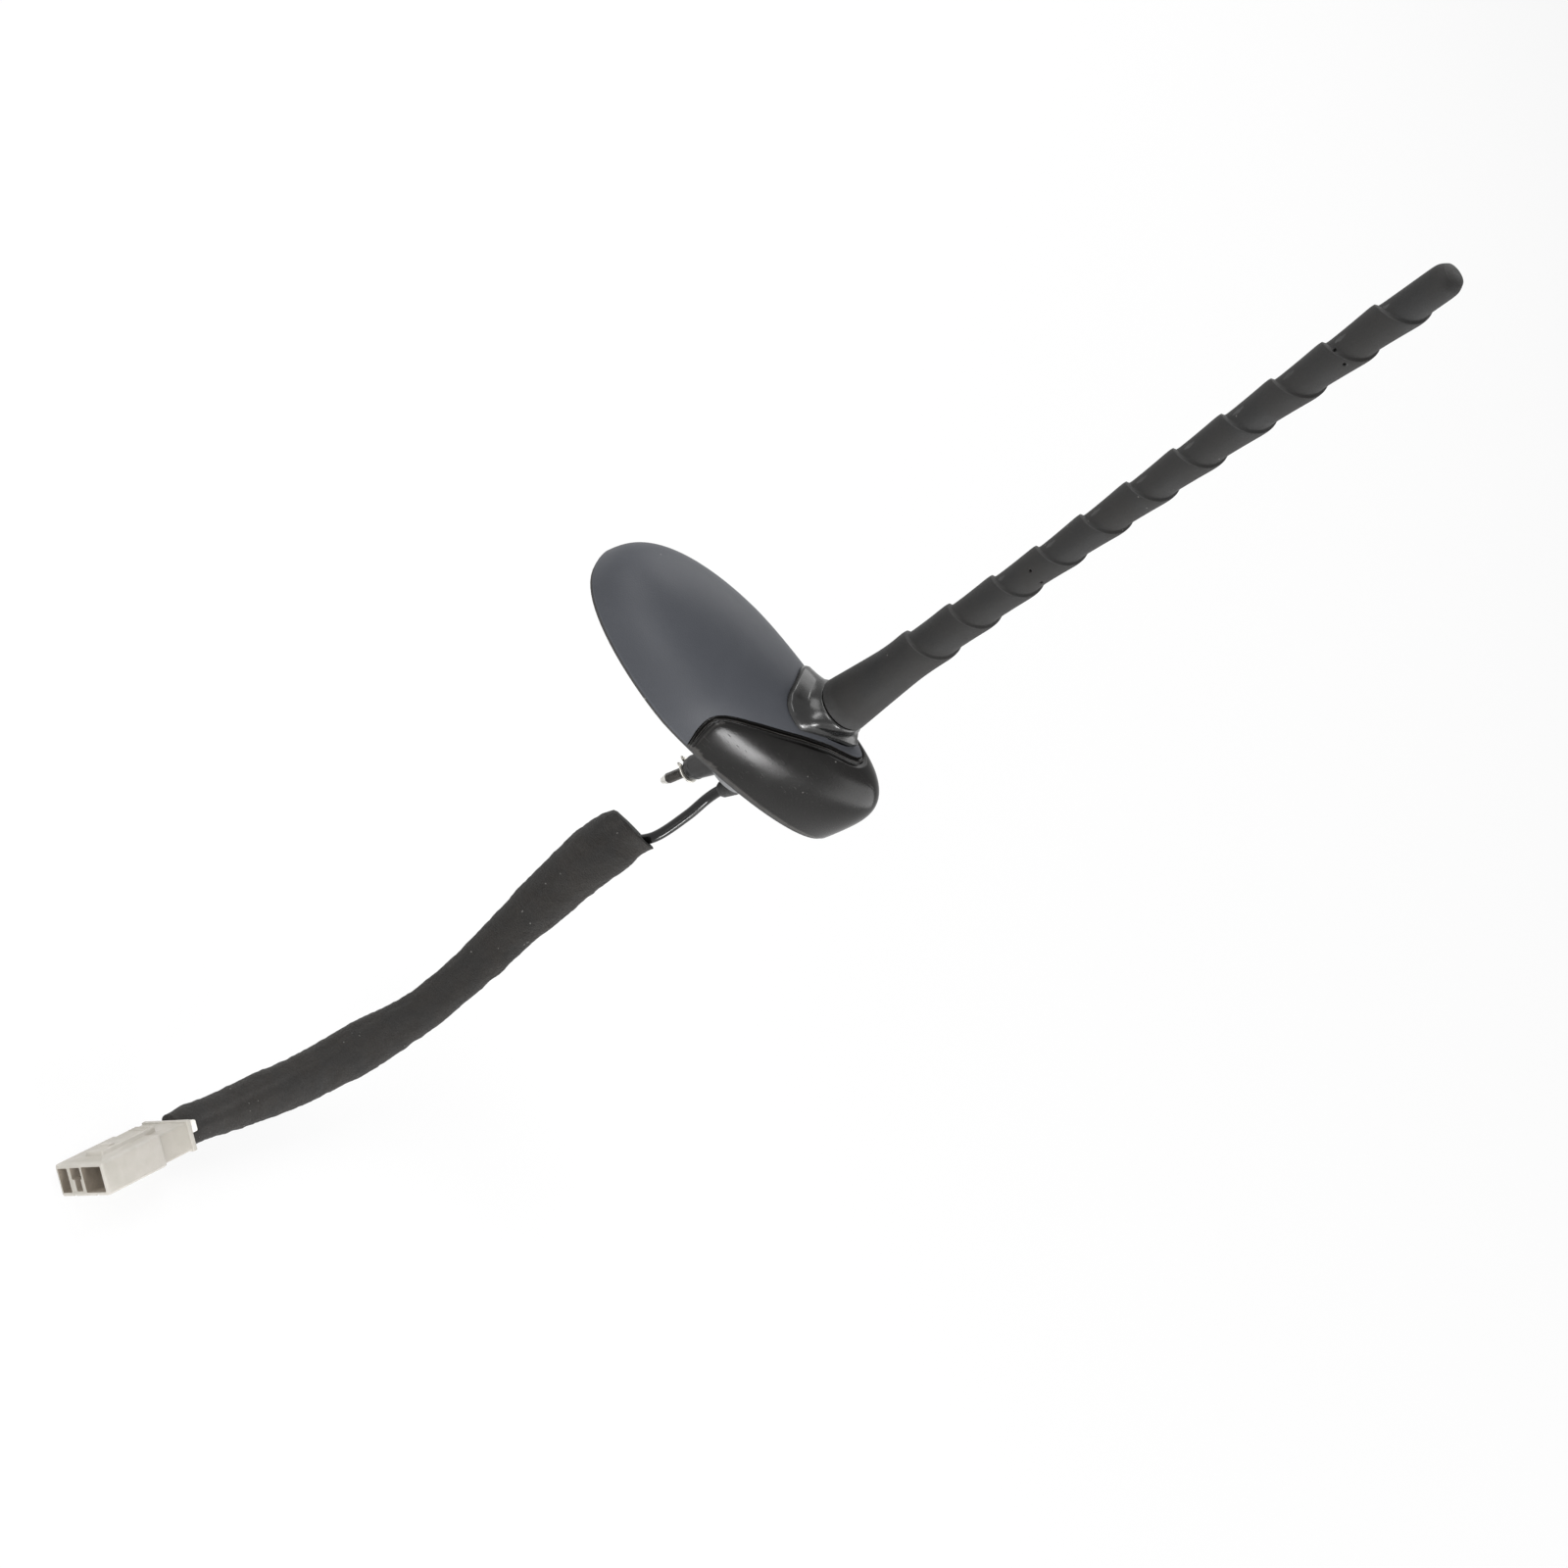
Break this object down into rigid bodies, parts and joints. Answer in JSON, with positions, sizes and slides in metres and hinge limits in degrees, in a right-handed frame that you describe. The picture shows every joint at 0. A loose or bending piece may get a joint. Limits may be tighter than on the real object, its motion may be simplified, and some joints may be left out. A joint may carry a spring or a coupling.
{
  "type": "car mast aerial",
  "caption": "Roof aerial for a car: egg-shaped base on a gasket, raked rubber mast with a spiral rib, clamp fixing below, and a foam-sleeved lead ending in a flat plug.",
  "frame": {"origin": "on the roof surface, on the axis of the round spigot that enters the roof hole", "axes": "+Z out of the roof, +X towards the blunt nose of the base, +Y to the left of it; the mast leans towards -X"},
  "size_m": [0.1024, 0.1844, 0.3748],
  "materials": {
    "cover": "satin blue-grey",
    "nose": "gloss black",
    "boss": "gloss black",
    "gasket": "matt rubber",
    "plate": "die-cast",
    "screw": "zinc plated",
    "post": "moulded",
    "board": "solder mask",
    "tin": "tinned",
    "spring": "plain",
    "brass": "turned",
    "insulator": "moulded",
    "tower": "moulded",
    "clip": "pale spring steel",
    "bolt": "dark plated",
    "grommet": "matt rubber",
    "coax": "gloss jacket",
    "foam": "matt felted foam",
    "plug": "warm pale grey",
    "retainer": "white",
    "terminal": "tinned brass",
    "jacket": "matt rubber",
    "core": "glass-fibre rod",
    "winding": "enamelled copper",
    "ferrule": "turned, plated"
  },
  "bodies": {
    "base": {"base_cover": "cover", "nose_cap": "nose", "mast_boss": "boss", "roof_gasket": "gasket", "base_plate": "plate", "plate_screws": "screw", "screw_posts": "post", "circuit_board": "board", "board_screws": "screw", "shield_can": "tin", "contact_spring": "spring", "mast_socket": "brass", "socket_insulator": "insulator", "clamp_tower": "tower", "spring_clip": "clip", "clamp_bolt": "bolt", "cable_grommet": "grommet", "lead_coax": "coax", "foam_sleeve": "foam", "plug_housing": "plug", "terminal_retainer": "retainer", "plug_terminals": "terminal"},
    "mast": {"mast_jacket": "jacket", "mast_core": "core", "mast_winding": "winding", "mast_ferrule": "ferrule"}
  },
  "joints": [
    {"name": "mast_unscrew", "type": "hinge", "parent": "base", "child": "mast", "pos_m": [0, 0, 0.0335], "axis": [-0.1908, 0, 0.9816], "range_deg": [0, 360]}
  ]
}
